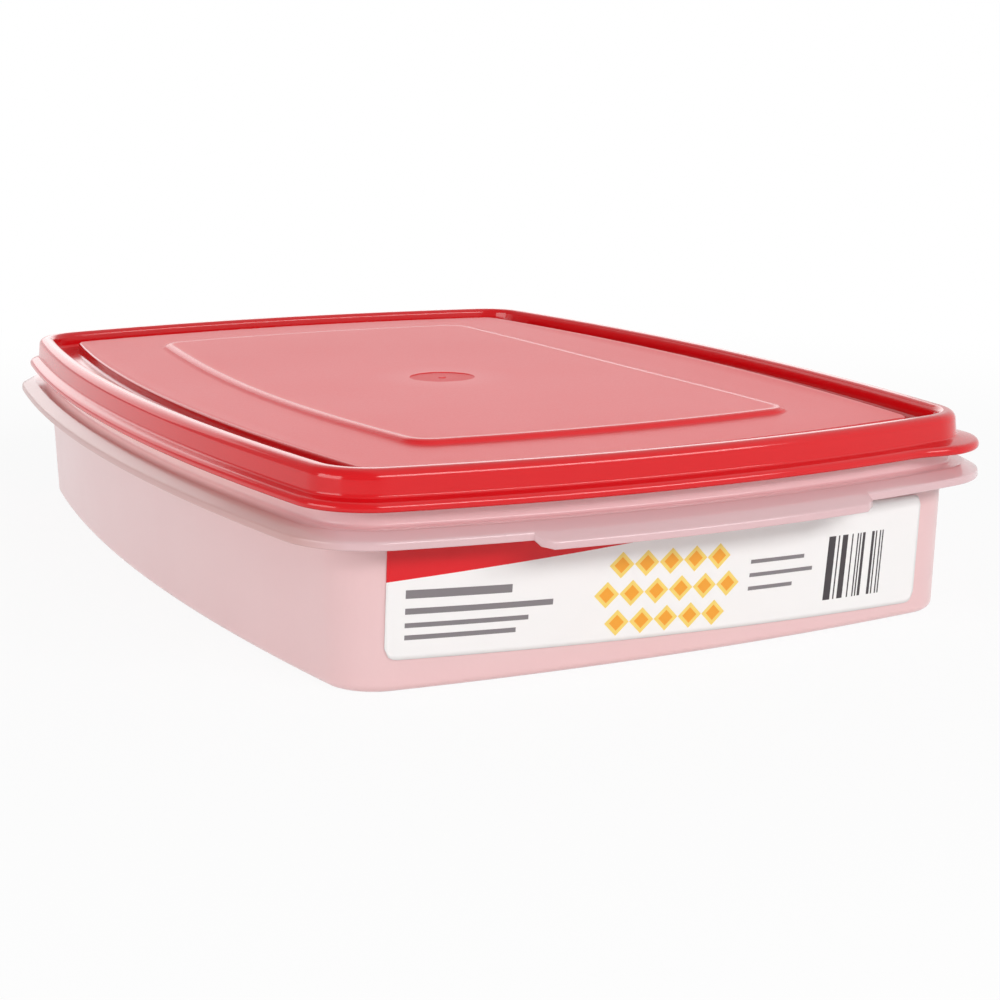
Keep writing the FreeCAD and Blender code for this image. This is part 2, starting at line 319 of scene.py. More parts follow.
def finish_tree(given, geometry):
    """Merge, smooth, realize and set the material, as every piece here ends."""
    merged = given.add("GeometryNodeMergeByDistance", {}, {"Geometry": geometry, "Distance": merge_distance})
    smooth = given.add("GeometryNodeSetShadeSmooth", {}, {"Geometry": merged})
    real = given.add("GeometryNodeRealizeInstances", {}, {"Geometry": smooth})
    material = given.other("Material")
    done = given.add("GeometryNodeSetMaterial", {}, {"Geometry": real, "Material": material})
    given.add("NodeGroupOutput", {}, {"Geometry": done})


def moulding_tree():
    """Point (i, j) of a grid goes to outline point j, moved by section point i."""
    tree, given, named = new_geometry_tree("moulding", (
        ("Outline", "NodeSocketGeometry"),
        ("Section", "NodeSocketObject"),
        ("Dish Half Width", "NodeSocketFloat"),
        ("Dish Half Length", "NodeSocketFloat"),
        ("Material", "NodeSocketMaterial"),
    ))
    outline = given.other("Outline")
    section = given.add("GeometryNodeObjectInfo", {}, {"Object": given.other("Section")}, "Geometry")
    count = given.add("GeometryNodeAttributeDomainSize", {}, {"Geometry": section})
    around = given.add("GeometryNodeAttributeDomainSize", {}, {"Geometry": outline})
    grid = given.add("GeometryNodeMeshGrid", {}, {"Vertices X": around + 1, "Vertices Y": count}, "Mesh")
    index = given.add("GeometryNodeInputIndex")
    column = ((index + 0.5) / count).math("FLOOR")
    row = index - column * count
    column = column.math("MODULO", around)

    def pick(geometry, place, name, kind):
        """A named value of the point with this index."""
        value = given.add("GeometryNodeInputNamedAttribute", {"data_type": kind}, {"Name": name})
        sockets = {"Geometry": geometry, "Value": value, "Index": place}
        return given.add("GeometryNodeSampleIndex", {"data_type": kind, "domain": "POINT"}, sockets)

    part = {name: pick(section, row, name, "FLOAT") for name in columns}
    reach = pick(outline, column, "reach", "FLOAT")
    first, out, second, second_out, circle = [
        pick(outline, column, name, "FLOAT_VECTOR") for name in outline_vectors
    ]
    rho = part["rho"] + part["reach_rho"] * reach
    height = part["z"] + part["reach_z"] * reach
    here = first + out * rho
    there = second + second_out * rho
    here = here + (there - here) * part["share"]
    here = here + (circle * part["radius"] - here) * part["round"]
    x = given.add("ShaderNodeSeparateXYZ", {}, {0: here})
    across = x / given.other("Dish Half Width")
    along = x.other("Y") / given.other("Dish Half Length")
    square = across * across
    ends = 1 - along * along
    height = height - part["sag"] * (1 - square * square) * ends * ends
    lift = given.add("ShaderNodeCombineXYZ", {}, {"Z": height})
    placed = given.add("GeometryNodeSetPosition", {}, {"Geometry": grid, "Position": here + lift})
    sockets = {"Geometry": placed, "Name": "finish", "Value": part["finish"]}
    finish_tree(given, given.add("GeometryNodeStoreNamedAttribute", {}, sockets))
    return tree, named


def run_tree(piece, tree, named, values):
    """Give a piece this tree as a modifier, with a value for each named input."""
    modifier = piece.modifiers.new(tree.name, "NODES")
    modifier.node_group = tree
    for label, value in values.items():
        modifier[named[label].identifier] = value


def make_plain(piece):
    """Turn a piece's evaluated modifiers into its own mesh."""
    shown = piece.evaluated_get(bpy.context.evaluated_depsgraph_get())
    mesh = bpy.data.meshes.new_from_object(shown)
    piece.modifiers.clear()
    piece.data = mesh
    mesh.name = piece.name


def moulding(name, first, second, reach, table, dish, material):
    """A closed moulding from two outlines, the reach of each of their points, and a section table."""
    circle = second[0] / np.linalg.norm(second[0], axis=1, keepdims=True)
    vectors = dict(zip(outline_vectors, (*first, *second, circle)))
    piece = points_object(name, first[0], {"reach": reach, **vectors})
    section = points_object(name + "_section", table[:, :2], dict(zip(columns, table.T)))
    run_tree(piece, *moulding_tree(), {
        "Section": section, "Dish Half Width": dish[0], "Dish Half Length": dish[1], "Material": material,
    })
    make_plain(piece)
    bpy.data.objects.remove(section)
    print(name, "has", len(piece.data.vertices), "points and", len(piece.data.polygons), "faces")
    return piece


print("the moulding rule is ready")

# %% [markdown]
# ## Frosted plastic
# The tub is thin polypropylene. A little of the light goes through it, and a thin coat gives it a soft
# shine. The surface is never quite even, so noise at two scales moves the roughness and raises a faint
# orange-peel bump. A row attribute tells the rows of the section apart: 0 on the walls, 1 on the flange
# and rim, and 2 on the part of the rim that the lid's lip shades. The flange and rim get a darker tint,
# which is painted shade: it stands in for the shadow seen through the thin ledge. The shaded part of the
# rim gets a painted glow that lifts the lip's shadow, standing in for light that real plastic carries
# there from its lit walls. The long sides, found by their distance from the middle, get a darker painted
# shade and a stronger painted glow.

# %% Materials of the tub and the tray
plastic_ior = 1.45
noise_detail = 2.0
broad_lump = 30 * mm
fine_lump = 1.5 * mm
broad_gloss_share = 0.08
fine_gloss_share = 0.06
peel_strength = 0.08
peel_height = 0.2 * mm
coat_weight = 0.35
flange_coat_weight = 0.5
coat_roughness = 0.1
no_light = (0, 0, 0, 1)
# Painted glow under the lid's lip: weak on the ends, stronger on the long sides.
end_painted_glow = (0.09, 0.05, 0.05, 1)
side_painted_glow = (0.25, 0.20, 0.20, 1)
# Painted shade: a darker flange tint for the long sides.
side_shade_tint = (0.69, 0.39, 0.37, 1)
side_start = 94 * mm
side_end = 103 * mm


def new_material(name):
    """An empty node material, a wire to build it with, and the object's coordinates."""
    material = bpy.data.materials.new(name)
    material.use_nodes = True
    material.node_tree.nodes.clear()
    board = Wire(material.node_tree)
    return material, board, board.add("ShaderNodeTexCoord", {}, {}, "Object")


def noise(board, place, size):
    """Smooth noise whose lumps are about this size."""
    return board.add("ShaderNodeTexNoise", {}, {"Vector": place, "Scale": 1 / size, "Detail": noise_detail})


def mixed(board, share, first, second):
    """One colour turning into another."""
    return board.add("ShaderNodeMix", {"data_type": "RGBA"}, {"Factor": share, 6: first, 7: second}, 2)


def surface(board, shader):
    """Send a shader to the material's output."""
    board.add("ShaderNodeOutputMaterial", {}, {"Surface": shader})


def frosted(name, tint, deep_tint, flange_shade_tint, roughness, see_through):
    """A translucent moulding with uneven gloss and faint lumps, and painted shade and glow on its flange and
    rim.
    """
    material, board, place = new_material(name)
    broad = noise(board, place, broad_lump)
    fine = noise(board, place, fine_lump)
    # The row attribute drives painted shade: a darker tint on the flange and rim, and a painted glow on the
    # rim rows in the lip's shade.
    finish = board.add("ShaderNodeAttribute", {"attribute_name": "finish"}, {}, "Fac")
    shaded = (finish - 1).math("MAXIMUM", 0.0)
    flange = finish - 2 * shaded
    across = board.add("ShaderNodeSeparateXYZ", {}, {0: place}).math("ABSOLUTE")
    # The long sides, picked by their distance from the middle, get the darker painted shade and a weaker
    # coat.
    side = ((across - side_start) / (side_end - side_start)).clamp()
    flange_shade_colour = mixed(board, side, flange_shade_tint, side_shade_tint)
    # Painted glow: emission that lifts the shade under the lip, stronger on the long sides.
    painted_glow = mixed(board, side, end_painted_glow, side_painted_glow)
    bump = board.add("ShaderNodeBump", {}, {
        "Height": fine, "Strength": peel_strength, "Distance": peel_height,
    })
    shader = board.add("ShaderNodeBsdfPrincipled", {}, {
        "Base Color": mixed(board, finish, mixed(board, broad, tint, deep_tint), flange_shade_colour),
        "Roughness": roughness + broad_gloss_share * broad + fine_gloss_share * fine,
        "IOR": plastic_ior,
        "Transmission Weight": see_through,
        "Coat Weight": coat_weight + flange_coat_weight * flange * (1 - side),
        "Coat Roughness": coat_roughness,
        "Emission Color": mixed(board, shaded, no_light, painted_glow),
        "Emission Strength": 1.0,
        "Normal": bump,
    })
    surface(board, shader)
    return material


# The pink of the tub's tints is painted light: it stands in for the red lid's light in the frosted plastic.
tub_finish = frosted(
    "frosted_tub", tint=(0.94, 0.65, 0.65, 1), deep_tint=(0.92, 0.61, 0.615, 1),
    flange_shade_tint=(0.80, 0.53, 0.55, 1), roughness=0.27, see_through=0.15,
)
tray_finish = frosted(
    "frosted_tray", tint=(0.94, 0.91, 0.91, 1), deep_tint=(0.91, 0.88, 0.88, 1),
    flange_shade_tint=(0.94, 0.91, 0.91, 1), roughness=0.38, see_through=0.25,
)
print("frosted materials:", tub_finish.name, tray_finish.name)

# %% [markdown]
# ## The tub
# The tub's section starts under the floor, turns up at a rounded foot, leans out along the wall, turns
# out into the flange with its drooping lip, rises as the rim that the lid grips, and comes back down
# inside. At both short ends the lip widens into a grip, so those points have a second place to go to.

# %% Section and mesh of the tub
floor_thickness = 1.6 * mm
stand_step = 0.8 * mm
stand_width = 6.0 * mm
stand_radius = 0.3 * mm
foot_rho = 14.6 * mm
foot_radius = 2.2 * mm
wall_thickness = 1.5 * mm
wall_top_rho = 15.8 * mm
rim_gap = 4.35 * mm
flange_thickness = 1.5 * mm
flange_flat_width = 4.4 * mm
flange_height = 4.05 * mm
flange_lip_height = 2.0 * mm
flange_lip_lean = 0.15 * mm
grip_drop = 1.75 * mm
flange_margin = 0.5 * mm
flange_corner_radius = 0.3 * mm
flange_hollow_radius = 0.6 * mm
flange_inner_radius = 0.2 * mm
flange_edge_radius = 0.35 * mm
flange_lip_radius = 0.8 * mm
flange_shoulder_radius = 1.8 * mm
rim_foot_radius = 0.8 * mm
rim_edge_radius = 0.5 * mm
ledge_radius = 0.6 * mm
flange_top = lip_bottom - rim_gap
flange_under = flange_top - flange_thickness
flange_bottom = flange_top - flange_height
stand_rho = foot_rho - foot_radius - stand_width
wall_shares = np.array([0.02, 0.25, 0.5, 0.75, 0.98])
floor_closing_shares = np.array([1.0, 0.6, 0.2])
no_dish = (1.0, 1.0)


def flange_and_rim(reach, bottom):
    """From the top of the outer wall, round the flange and over the rim, to the top of the inner wall."""
    edge = rim_rho + reach
    shoulder = rim_rho + flange_flat_width
    lip_top = bottom + flange_lip_height
    inner = rim_rho - rim_thickness
    wall_inner = wall_top_rho - wall_thickness
    ledge = flange_top + inner - wall_inner
    return rounded([
        (wall_top_rho, flange_under - flange_margin, 0),
        (wall_top_rho, flange_under, flange_corner_radius),
        (shoulder - flange_thickness / 2, flange_under, flange_hollow_radius),
        (edge - flange_lip_lean - flange_thickness, lip_top - flange_thickness / 2, flange_inner_radius),
        (edge - flange_thickness, bottom, flange_inner_radius),
        (edge, bottom, flange_edge_radius),
        (edge - flange_lip_lean, lip_top, flange_lip_radius),
        (shoulder, flange_top, flange_shoulder_radius),
        (rim_rho, flange_top, rim_foot_radius),
        (rim_rho, rim_top, rim_edge_radius),
        (inner, rim_top, rim_edge_radius),
        (inner, ledge, ledge_radius),
        (wall_inner, flange_top, ledge_radius),
        (wall_inner, flange_under, 0),
    ])


def tub_section():
    """The whole section of the tub, from the middle of its underside to the middle of its floor."""
    under = rounded([
        (stand_rho, stand_step, 0),
        (stand_rho + stand_step, 0, stand_radius),
        (foot_rho, 0, foot_radius),
        (foot_rho, foot_radius, 0),
    ])
    inside = rounded([
        (foot_rho - wall_thickness, foot_radius, 0),
        (foot_rho - wall_thickness, floor_thickness, foot_radius - floor_thickness),
        (stand_rho + stand_step, floor_thickness, stand_radius),
        (stand_rho, floor_top, 0),
    ])
    plain = flange_and_rim(flange_width, flange_bottom)
    drift = flange_and_rim(flange_width + grip_reach, flange_bottom - grip_drop) - plain
    # Rim rows in the lip's shade get 2, for a painted glow; the other flange and rim rows get 1, for a
    # darker painted shade.
    shaded = (plain[:, 0] < rim_rho + flange_thickness) & (plain[:, 1] > flange_top - flange_margin)
    lean = np.array([wall_top_rho - foot_rho, flange_under - foot_radius])
    wall = np.array([foot_rho, foot_radius]) + wall_shares[:, None] * lean
    back_wall = (wall - [wall_thickness, 0])[::-1]
    middle_under = repeated(stand_rho, stand_step, floor_closing_shares)
    middle_floor = repeated(stand_rho, floor_top, floor_closing_shares)
    return np.concatenate([
        rows(middle_under, round=floor_closing_shares),
        rows(under),
        rows(wall, share=wall_shares),
        rows(plain, share=1, finish=1 + shaded, reach_rho=drift[:, 0], reach_z=drift[:, 1]),
        rows(back_wall, share=wall_shares[::-1]),
        rows(inside),
        rows(middle_floor, round=floor_closing_shares[::-1]),
    ])


def grip_weights():
    """How far each outline point belongs to an end grip, rounded in plan at the grip's ends."""
    edge = rim_places + rim_outwards * (rim_rho + flange_width)
    depth = np.clip((grip_half_width - np.abs(edge[:, 0])) / grip_end_radius, 0, 1)
    return np.sqrt(1 - (1 - depth) ** 2) * (np.abs(edge[:, 1]) > core_y)


tub = moulding("frosted_tub", foot_outline, rim_outline, grip_weights(), tub_section(), no_dish, tub_finish)
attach(tub, "tub")
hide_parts("container_base")

# %% [markdown]
# ## Red lid plastic
# The lid is one red plastic in two finishes: polished on the rim, and finely textured on the panel. The
# section marks the textured rows with 1 in the same row attribute as the tub, and the gate mark with a
# little more.
# The material reads it to raise the roughness and the grain. At a low viewing angle the texture turns
# pale by itself, as the real one does.

# %% Material of the lid
gloss_red = (0.66, 0.003, 0.007, 1)
gloss_red_light = (0.71, 0.005, 0.009, 1)
panel_red = (0.76, 0.012, 0.018, 1)
hue_lump = 45 * mm
grain_size = 0.7 * mm
grain_strength = 0.35
grain_height = 0.12 * mm
flow_radius = 24 * mm
gloss_roughness = 0.10
gloss_uneven_share = 0.03
texture_roughness = 0.29
texture_grain_share = 0.06
flow_gloss_share = 0.05


def red_plastic():
    """Glossy red, with a fine grain wherever the section's row attribute is 1."""
    material, board, place = new_material("red_lid")
    finish = board.add("ShaderNodeAttribute", {"attribute_name": "finish"}, {}, "Fac")
    broad = noise(board, place, hue_lump)
    grain = noise(board, place, grain_size)
    across = board.add("ShaderNodeSeparateXYZ", {}, {0: place})
    along = across.other("Y")
    distance = (across * across + along * along).math("SQRT")
    flow = 1 - (distance / flow_radius).math("MINIMUM", 1.0)
    gloss_colour = mixed(board, broad, gloss_red, gloss_red_light)
    texture = texture_roughness + texture_grain_share * grain - flow_gloss_share * flow
    bump = board.add("ShaderNodeBump", {}, {
        "Height": grain * finish, "Strength": grain_strength, "Distance": grain_height,
    })
    shader = board.add("ShaderNodeBsdfPrincipled", {}, {
        "Base Color": mixed(board, finish, gloss_colour, panel_red),
        "Roughness": gloss_roughness + gloss_uneven_share * broad + finish * texture,
        "IOR": plastic_ior,
        "Normal": bump,
    })
    surface(board, shader)
    return material


lid_finish = red_plastic()
print("lid material:", lid_finish.name)

# %% [markdown]
# ## The lid
# The lid's section starts in the middle of its underside, runs out to the channel that straddles the
# rim, round the lip, up the wall, over the crest and down through the groove to the panel. From there
# the outline turns from the lid's bowed plan into the raised field's plan, and then into the round gate
# mark in the middle. The panel sags a little towards the middle, as wide thin mouldings do.

# %% Section and mesh of the lid
lid_clearance = 0.3 * mm
lid_thickness = 1.45 * mm
lip_width = 3.4 * mm
lip_thickness = 2.1 * mm
lip_rise = 1.1 * mm
lip_radius = 0.8 * mm
lip_bead_radius = 1.6 * mm
lip_fit_share = 0.98
wall_lean = 0.3 * mm
crest_width = 5.0 * mm
shoulder_radius = 2.4 * mm
crest_radius = 1.6 * mm
mouth_flare = 0.6 * mm
mouth_height = 1.6 * mm
mouth_radius = 0.4 * mm
channel_radius = 0.2 * mm
channel_foot_radius = 0.6 * mm
groove_depth = 5.2 * mm
groove_width = 8.5 * mm
groove_lean = 0.5 * mm
groove_radius = 1.0 * mm
groove_under_radius = 0.8 * mm
panel_drop = 2.25 * mm
panel_sag = 2.1 * mm
panel_edge_radius = 0.6 * mm
panel_edge_run = 2.0 * mm
panel_under_radius = 0.5 * mm
texture_start = 0.5 * mm
field_width = 128.0 * mm
field_length = 225.0 * mm
field_bow = 3.6 * mm
field_side_bow = 5.1 * mm
field_corner_rho = 8.0 * mm
field_rise = 1.4 * mm
field_slope = 1.6 * mm
field_radius = 2.2 * mm
field_foot_radius = 2.0 * mm
field_foot_run = 1.0 * mm
field_edge_run = 2.5 * mm
field_gloss_run = 1.0 * mm
field_gloss_share = 0.45
field_margin = 3.0 * mm
gate_radius = 10.5 * mm
gate_depth = 0.25 * mm
gate_stub_radius = 1.1 * mm
gate_edge_radius = 0.15 * mm
gate_centre_run = 0.2 * mm
gate_margin = 3.0 * mm
gate_surround = 4.0 * mm
gate_finish = 1.5
tab_radius = 21.0 * mm
tab_shift = 5.0 * mm
tab_direction = math.radians(-58.0)
hollow_closing_shares = np.array([1.0, 0.7, 0.4, 0.15])
field_closing_shares = np.array([0.2, 0.45, 0.7, 0.9])
under_bridge_shares = np.array([0.98, 0.75, 0.5, 0.25, 0.02])
panel_bridge_shares = np.array([0.04, 0.25, 0.5, 0.75, 0.96])

lid_wall_rho = rim_rho + lid_clearance + lid_thickness
lip_rho = lid_wall_rho + lip_width
lip_top = lip_bottom + lip_thickness
crest_inner_rho = lid_wall_rho - crest_width
groove_floor = lid_top - groove_depth
panel_top = lid_top - panel_drop
field_top = panel_top + field_rise
panel_rho = crest_inner_rho - groove_lean - groove_width


def lid_underside():
    """From the middle of the hollow field, out over the panel and groove, through the channel to the lip."""
    under = panel_top - lid_thickness
    hollow_rho = field_corner_rho - lid_thickness
    groove_under = groove_floor - lid_thickness
    channel_inner = rim_rho - rim_thickness - lid_clearance
    channel_outer = rim_rho + lid_clearance
    edge = panel_rho - lid_thickness
    middle = repeated(hollow_rho, under + field_rise, hollow_closing_shares)
    hollow = rounded([
        (hollow_rho - lid_thickness, under + field_rise, 0),
        (hollow_rho, under + field_rise, panel_under_radius),
        (hollow_rho, under, panel_under_radius),
        (hollow_rho + lid_thickness, under, 0),
    ])
    inner = hollow_rho + field_margin
    outward = inner + (1 - under_bridge_shares) * (edge - inner)
    panel = raised(outward, under)
    channel = rounded([
        (edge - lid_thickness, under, 0),
        (edge, under, panel_under_radius),
        (edge + groove_lean, groove_under, groove_under_radius),
        (channel_inner, groove_under, channel_foot_radius),
        (channel_inner, rim_top, channel_radius),
        (channel_outer, rim_top, channel_radius),
        (channel_outer, lip_bottom + mouth_height, mouth_radius),
        (channel_outer + mouth_flare, lip_bottom, channel_radius),
        (lip_rho - lip_radius, lip_bottom, 0),
    ])
    return np.concatenate([
        rows(middle, share=1, round=hollow_closing_shares, sag=panel_sag),
        rows(hollow, share=1, sag=panel_sag),
        rows(panel, share=under_bridge_shares, sag=panel_sag),
        rows(channel, reach_rho=lip_share(channel)),
    ])


def lip_share(points):
    """How far each row follows the tab's edge: not at all at the wall, fully at the lip's edge."""
    low = (points[:, 1] < lip_top + lip_rise).astype(float)
    start = lid_wall_rho + wall_lean
    return low * np.clip((points[:, 0] - start) / (lip_rho - lip_radius - start), 0, 1)


def lid_outside():
    """From the lip's lower edge, up the wall, over the crest and through the groove to the panel's edge."""
    return rounded([
        (lip_rho - lip_radius, lip_bottom, 0),
        (lip_rho, lip_bottom, lip_radius * lip_fit_share),
        (lip_rho, lip_top, lip_bead_radius),
        (lid_wall_rho + wall_lean, lip_top + lip_rise, lip_radius),
        (lid_wall_rho - wall_lean, lid_top, shoulder_radius),
        (crest_inner_rho, lid_top, crest_radius),
        (crest_inner_rho - groove_lean, groove_floor, groove_radius),
        (panel_rho + groove_lean, groove_floor, groove_radius),
        (panel_rho, panel_top, panel_edge_radius),
        (panel_rho - panel_edge_run, panel_top, 0),
    ])


def lid_panel():
    """From the panel's edge to the raised field, over its slope, and in to the gate mark."""
    foot_rho_field = field_corner_rho + field_slope
    edge_rho_field = field_corner_rho - field_edge_run
    start = panel_rho - panel_edge_run
    inward = start + panel_bridge_shares * (foot_rho_field + field_margin - start)
    panel = raised(inward, panel_top)
    slope = rounded([
        (foot_rho_field + field_foot_run, panel_top, 0),
        (foot_rho_field, panel_top, field_foot_radius),
        (field_corner_rho, field_top, field_radius),
        (edge_rho_field, field_top, 0),
    ])
    upper = slope[:, 1] > panel_top + field_rise / 2
    glossy = upper & (slope[:, 0] > field_corner_rho - field_gloss_run)
    slope_finish = np.where(glossy, field_gloss_share, 1)
    field = repeated(edge_rho_field, field_top, field_closing_shares)
    gate = rounded([
        (gate_radius + gate_margin, field_top, 0),
        (gate_radius, field_top, gate_edge_radius),
        (gate_radius - gate_depth, field_top - gate_depth, gate_edge_radius),
        (gate_stub_radius + gate_depth, field_top - gate_depth, gate_edge_radius),
        (gate_stub_radius, field_top, gate_edge_radius),
        (gate_centre_run, field_top, 0),
        (0, field_top, 0),
    ])
    middle = np.stack([np.full(len(gate), field_corner_rho), gate[:, 1]], axis=1)
    inside_gate = np.where(gate[:, 0] < gate_radius, gate_finish, 1)
    circle = gate_radius + gate_surround
    return np.concatenate([
        rows(panel, share=panel_bridge_shares, sag=panel_sag, finish=1),
        rows(slope, share=1, sag=panel_sag, finish=slope_finish),
        rows(field, share=1, round=field_closing_shares, radius=circle, sag=panel_sag, finish=1),
        rows(middle, share=1, round=1, radius=gate[:, 0], sag=panel_sag, finish=inside_gate),
    ])


def tab_reach():
    """How far the round lift tab stands out of the lip at each outline point, smoothed a little."""
    edge = rim_places + rim_outwards * lip_rho
    shift = tab_shift * np.array([math.cos(tab_direction), math.sin(tab_direction)])
    arm = edge - np.array([core_x, -core_y]) - shift
    along = np.sum(arm * rim_outwards, axis=1)
    inside = tab_radius ** 2 - np.sum(arm ** 2, axis=1)
    reach = np.sqrt(np.maximum(along ** 2 + inside, 0)) - along
    reach = np.where(inside > 0, reach, 0)
    return (np.roll(reach, 1) + 2 * reach + np.roll(reach, -1)) / 4


field_x = field_width / 2 - field_side_bow - field_corner_rho
field_y = field_length / 2 - field_bow - field_corner_rho
field_outline = bowed_outline(field_x, field_y, field_side_bow, field_bow, *ring_shares)
outside = lid_outside()
lid_table = np.concatenate([
    lid_underside(),
    rows(outside, reach_rho=lip_share(outside), finish=outside[:, 0] < panel_rho - texture_start),
    lid_panel(),
])
panel_half = (core_x + long_bow + panel_rho, core_y + short_bow + panel_rho)
lid = moulding("red_lid", rim_outline, field_outline, tab_reach(), lid_table, panel_half, lid_finish)
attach(lid, "lid")
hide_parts("lid")

# %% [markdown]
# ## The egg tray
# The tray is one cup repeated in rows and columns. Geometry Nodes put a copy of the cup on each point of
# a grid. The plate between the cups is the inside of the tray's edge with the cups' rims as holes, which
# Fill Curve makes from their outlines. A Solidify modifier then gives the sheet its thickness, and the
# result becomes a plain mesh.

# %% Cup, border and tray
cup_columns, cup_rows = 4, 5
cup_pitch_x, cup_pitch_y = 47.0 * mm, 55.0 * mm
cup_steps = 64
tray_thickness = 1.2 * mm
cup_half_width = 20.0 * mm - tray_thickness
cup_half_length = 24.5 * mm - tray_thickness
cup_floor_share = 0.55
cup_curve = 2.275
tray_skirt_height = 4.0 * mm
tray_clearance = 0.5 * mm
tray_edge_radius = 1.2 * mm
tray_edge_run = 1.5 * tray_edge_radius
cup_mouth_rings = ((1.08, 0), (1.05, 0), (1.025, 0.12 * mm), (1.008, 0.45 * mm))
cup_wall_shares = np.linspace(0.07, 0.97, 10)
cup_floor_ring_shares = (0.53, 0.46, 0.25)
open_edge_faces = 1.5


def skin(name, rings, pole):
    """Quads between rings of points; the last ring closes to one point if pole is set."""
    count = len(rings[0])
    points = np.concatenate(rings)
    index = np.arange(len(points)).reshape(-1, count)
    after = np.roll(index, -1, axis=1)
    quads = np.stack([index[:-1], after[:-1], after[1:], index[1:]], axis=2)
    faces = quads.reshape(-1, 4).tolist()
    if pole:
        points = np.concatenate([points, [rings[-1].mean(axis=0)]])
        faces += [(i, j, len(points) - 1) for i, j in zip(index[-1].tolist(), after[-1].tolist())]
    mesh = bpy.data.meshes.new(name)
    mesh.from_pydata(points.tolist(), [], faces)
    return in_scene(name, mesh)


def egg_cup():
    """One oval cup, from the flat collar round its mouth down to its floor."""
    oval = rays(even_shares(cup_steps) * 2 * math.pi) * [cup_half_width, cup_half_length]
    depth = tray_top - floor_top - tray_thickness
    rings = [raised(oval * share, tray_top - drop) for share, drop in cup_mouth_rings]
    for share in cup_wall_shares:
        size = 1 - (1 - cup_floor_share) * share ** cup_curve
        rings.append(raised(oval * size, tray_top - share * depth))
    rings += [raised(oval * share, tray_top - depth) for share in cup_floor_ring_shares]
    return skin("egg_cup", rings, True)


def tray_border():
    """The turned-down edge of the tray, from its lower rim up to a flat ring round the plate."""
    share = (tray_top - tray_skirt_height - foot_radius) / (flange_under - foot_radius)
    bow_x = foot_long_bow + share * (long_bow - foot_long_bow)
    bow_y = foot_short_bow + share * (short_bow - foot_short_bow)
    places, outwards = bowed_outline(core_x, core_y, bow_x, bow_y, shares_long, shares_long, shares_corner)
    edge = foot_rho + share * (wall_top_rho - foot_rho) - wall_thickness - tray_clearance
    section = rounded([
        (edge, tray_top - tray_skirt_height, 0),
        (edge, tray_top, tray_edge_radius),
        (edge - tray_edge_run, tray_top, 0),
    ])
    return skin("egg_tray_shell", [raised(places + outwards * rho, z) for rho, z in section], False)


def tray_tree():
    """A copy of the cup on each point of a grid, and a plate between the cups and the border."""
    tree, given, named = new_geometry_tree("cup_grid", (
        ("Border", "NodeSocketGeometry"),
        ("Cup", "NodeSocketObject"),
        ("Columns", "NodeSocketInt"),
        ("Rows", "NodeSocketInt"),
        ("Column Pitch", "NodeSocketFloat"),
        ("Row Pitch", "NodeSocketFloat"),
        ("Plate Height", "NodeSocketFloat"),
        ("Material", "NodeSocketMaterial"),
    ))
    columns_in, rows_in = given.other("Columns"), given.other("Rows")
    grid = given.add("GeometryNodeMeshGrid", {}, {
        "Size X": given.other("Column Pitch") * (columns_in - 1),
        "Size Y": given.other("Row Pitch") * (rows_in - 1),
        "Vertices X": columns_in,
        "Vertices Y": rows_in,
    }, "Mesh")
    cup = given.add("GeometryNodeObjectInfo", {}, {"Object": given.other("Cup")}, "Geometry")
    cups = given.add("GeometryNodeInstanceOnPoints", {}, {"Points": grid, "Instance": cup})
    cups = given.add("GeometryNodeRealizeInstances", {}, {"Geometry": cups})

    def join(first, second):
        """Both geometries as one."""
        joined = given.add("GeometryNodeJoinGeometry", {}, {"Geometry": first})
        tree.links.new(second.socket, joined.socket.node.inputs[0])
        return joined

    sheet = join(given.other("Border"), cups)
    height = given.add("ShaderNodeSeparateXYZ", {}, {0: given.add("GeometryNodeInputPosition")}, "Z")
    faces_beside = given.add("GeometryNodeInputMeshEdgeNeighbors")
    open_edge = (faces_beside < open_edge_faces) * (height > given.other("Plate Height") - merge_distance)
    rims = given.add("GeometryNodeMeshToCurve", {}, {"Mesh": sheet, "Selection": open_edge})
    plate = given.add("GeometryNodeFillCurve", {}, {"Curve": rims})
    lift = given.add("ShaderNodeCombineXYZ", {}, {"Z": given.other("Plate Height")})
    flat = given.add("ShaderNodeVectorMath", {"operation": "MULTIPLY"}, {
        0: given.add("GeometryNodeInputPosition"), 1: (1, 1, 0),
    })
    plate = given.add("GeometryNodeSetPosition", {}, {"Geometry": plate, "Position": flat + lift})
    finish_tree(given, join(sheet, plate))
    return tree, named


cup = egg_cup()
tray = tray_border()
run_tree(tray, *tray_tree(), {
    "Cup": cup, "Columns": cup_columns, "Rows": cup_rows, "Column Pitch": cup_pitch_x,
    "Row Pitch": cup_pitch_y, "Plate Height": tray_top, "Material": tray_finish,
})
wall = tray.modifiers.new("thickness", "SOLIDIFY")
wall.thickness = tray_thickness
wall.offset = -1
make_plain(tray)
bpy.data.objects.remove(cup)
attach(tray, "egg_tray")
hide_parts("egg_tray")
print("tray has", cup_columns * cup_rows, "cups and", len(tray.data.polygons), "faces")

# %% [markdown]
# ## The label
# The label is a printed film on the short end wall, under the flange. Its print is a plain design made
# for this model: a red wedge, three rows of yellow lozenges, grey bars where small print would be, and a
# block of upright stripes. The print is drawn in the material from the label's own UV map, in shares of
# the label's width and height, so that it follows the curved wall without a picture file.

